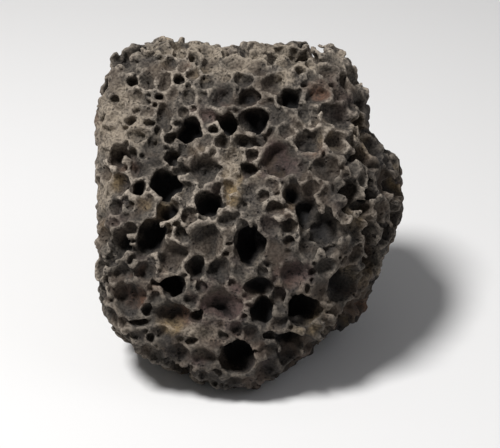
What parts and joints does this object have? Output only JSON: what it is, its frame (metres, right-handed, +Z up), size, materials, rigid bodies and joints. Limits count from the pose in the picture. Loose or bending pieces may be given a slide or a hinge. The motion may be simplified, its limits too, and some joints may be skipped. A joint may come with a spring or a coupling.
{
  "type": "lava rock",
  "caption": "Blocky lump of dark vesicular lava stone with deep round gas-bubble holes all over; lies on its flat broken face.",
  "frame": {"origin": "middle of the rock's bounding box in plan, at the height of the flat broken face it rests on", "axes": "+Z up, away from the face it rests on; +X to the right of someone who faces the leaning show side; +Y away from them, into the rock"},
  "size_m": [0.0516, 0.0494, 0.0484],
  "materials": {
    "lava_rock": "rough matt vesicular scoria, dusty on the ridges between its holes"
  },
  "bodies": {
    "root": {"lava_rock": "lava_rock"}
  },
  "joints": []
}
